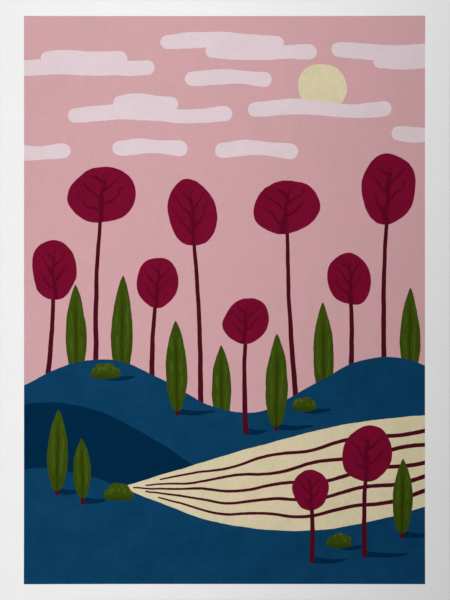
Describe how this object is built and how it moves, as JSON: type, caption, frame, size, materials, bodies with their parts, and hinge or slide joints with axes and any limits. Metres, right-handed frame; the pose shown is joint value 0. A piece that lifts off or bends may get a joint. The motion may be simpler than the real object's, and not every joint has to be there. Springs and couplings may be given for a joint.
{
  "type": "art print",
  "caption": "Unframed art print: a flat rectangular sheet of heavy matte paper with a white margin round a painted-style landscape, to frame, mount or clip up.",
  "frame": {"origin": "under the middle of the sheet, in the plane that the sheet rests on", "axes": "+Z out of the printed face, +Y towards the picture's top edge, +X towards its right edge"},
  "size_m": [0.3, 0.4, 0.0029],
  "materials": {
    "paper": "matte",
    "ink_pink": "matte",
    "ink_pale": "matte",
    "ink_navy": "matte",
    "ink_deep_navy": "matte",
    "ink_cream": "matte",
    "ink_maroon": "matte",
    "ink_burgundy": "matte",
    "ink_green": "matte"
  },
  "bodies": {
    "root": {"paper_sheet": "paper"}
  },
  "joints": []
}
